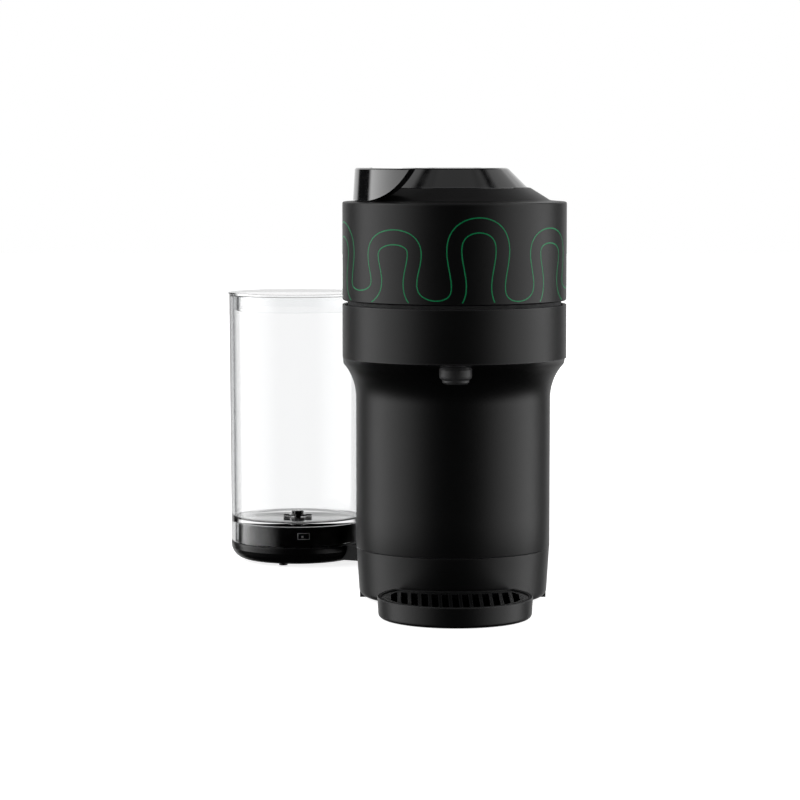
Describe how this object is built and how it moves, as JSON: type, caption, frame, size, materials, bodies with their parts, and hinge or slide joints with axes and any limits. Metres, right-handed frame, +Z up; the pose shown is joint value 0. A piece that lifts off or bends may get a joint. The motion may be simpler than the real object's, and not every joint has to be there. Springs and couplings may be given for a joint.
{
  "type": "pod coffee machine",
  "caption": "Capsule coffee machine with a round lift-up brew head on a column, a lock lever, a small drip tray and a clear water tank on a swivelling arm.",
  "frame": {"origin": "centre of the front rubber pad's underside, on the table under the brew head's axis", "axes": "+X to the right seen from the front, +Y to the rear, +Z up"},
  "size_m": [0.2284, 0.359, 0.2816],
  "materials": {
    "matte_black": "fine moulded grain",
    "gloss_black": "polished",
    "black_rubber": "matt",
    "steel": "satin",
    "aluminium": "cast",
    "green_board": "solder mask",
    "white_plastic": "satin",
    "hose": "translucent silicone",
    "clear_plastic": "clear"
  },
  "bodies": {
    "machine": {"base_shell": "matte_black", "chassis": "matte_black", "column_cover": "matte_black", "rear_housing": "matte_black", "rear_cover": "matte_black", "head_ring": "matte_black", "head_gasket": "black_rubber", "chamber_bowl": "matte_black", "coffee_spout": "gloss_black", "holder_bearing": "steel", "barcode_reader": "gloss_black", "capsule_chute": "matte_black", "hinge_bracket": "steel", "hinge_pins": "steel", "motor_case": "steel", "motor_bracket": "steel", "drive_belt": "black_rubber", "heater": "aluminium", "pump_case": "steel", "pump_mounts": "black_rubber", "flow_meter_case": "gloss_black", "control_board": "green_board", "board_parts": "gloss_black", "supply_hose": "hose", "pump_hose": "hose", "heater_hose": "hose", "cable_gland": "black_rubber", "base_screws": "steel", "rubber_feet": "black_rubber", "rear_foot": "black_rubber"},
    "lid": {"lid_shell": "matte_black", "lid_liner": "gloss_black", "lid_hinge_arms": "steel", "clamp_bearing": "steel"},
    "lever": {"lever_cap": "gloss_black", "lock_lever": "gloss_black", "lock_ring": "gloss_black", "button_housing": "gloss_black", "button_board": "green_board", "led_ring": "white_plastic"},
    "button": {"brew_button": "gloss_black", "button_spring": "steel"},
    "holder": {"capsule_holder": "steel", "holder_pulley": "white_plastic"},
    "clamp": {"clamp_plate": "steel", "injector": "steel", "clamp_seal": "black_rubber"},
    "rotor": {"motor_rotor": "steel", "motor_pulley": "white_plastic"},
    "piston": {"pump_piston": "steel"},
    "meter": {"flow_meter_rotor": "white_plastic"},
    "tray": {"drip_tray": "matte_black"},
    "grid": {"drip_grid": "gloss_black"},
    "container": {"capsule_container": "matte_black"},
    "arm": {"tank_arm": "gloss_black", "tank_pedestal": "gloss_black", "tank_connector": "black_rubber"},
    "tank": {"water_tank": "clear_plastic"},
    "tank_lid": {"tank_lid": "clear_plastic"},
    "valve": {"tank_valve": "gloss_black"}
  },
  "joints": [
    {"name": "lid_hinge", "type": "hinge", "parent": "machine", "child": "lid", "pos_m": [0, 0.074, 0.197], "axis": [-1, 0, 0], "range_deg": [0, 50]},
    {"name": "lever_turn", "type": "hinge", "parent": "lid", "child": "lever", "pos_m": [0, 0, 0.27], "axis": [0, 0, 1], "range_deg": [0, 50]},
    {"name": "button_press", "type": "slide", "parent": "lever", "child": "button", "axis": [0, 0, -1], "range_m": [0, 0.002], "stiffness_N_per_m": 500},
    {"name": "capsule_spin", "type": "hinge", "parent": "machine", "child": "holder", "pos_m": [0, 0, 0.15], "axis": [0, 0, 1], "continuous": true},
    {"name": "clamp_spin", "type": "hinge", "parent": "lid", "child": "clamp", "pos_m": [0, 0, 0.21], "axis": [0, 0, 1], "continuous": true},
    {"name": "motor_spin", "type": "hinge", "parent": "machine", "child": "rotor", "pos_m": [0, 0.062, 0.1], "axis": [0, 0, 1], "continuous": true},
    {"name": "pump_stroke", "type": "slide", "parent": "machine", "child": "piston", "axis": [0, 1, 0], "range_m": [-0.003, 0.003], "stiffness_N_per_m": 300},
    {"name": "meter_spin", "type": "hinge", "parent": "machine", "child": "meter", "pos_m": [-0.028, 0.096, 0.042], "axis": [0, 0, 1], "continuous": true},
    {"name": "tray_slide", "type": "slide", "parent": "machine", "child": "tray", "axis": [0, -1, 0], "range_m": [0, 0.06]},
    {"name": "grid_lift", "type": "slide", "parent": "tray", "child": "grid", "axis": [0, 0, 1], "range_m": [0, 0.02]},
    {"name": "container_slide", "type": "slide", "parent": "machine", "child": "container", "axis": [0, 1, 0], "range_m": [0, 0.12]},
    {"name": "tank_swing", "type": "hinge", "parent": "machine", "child": "arm", "pos_m": [0, 0.175, 0.008], "axis": [0, 0, 1], "range_deg": [-134.8, 0]},
    {"name": "tank_lift", "type": "slide", "parent": "arm", "child": "tank", "axis": [0, 0, 1], "range_m": [0, 0.07]},
    {"name": "tank_lid_lift", "type": "slide", "parent": "tank", "child": "tank_lid", "axis": [0, 0, 1], "range_m": [0, 0.04]},
    {"name": "valve_press", "type": "slide", "parent": "tank", "child": "valve", "axis": [0, 0, 1], "range_m": [0, 0.003], "stiffness_N_per_m": 150}
  ],
  "couplings": [
    {"joint": "clamp_spin", "follows": "capsule_spin", "ratio": 1},
    {"joint": "motor_spin", "follows": "capsule_spin", "ratio": 1.551}
  ]
}
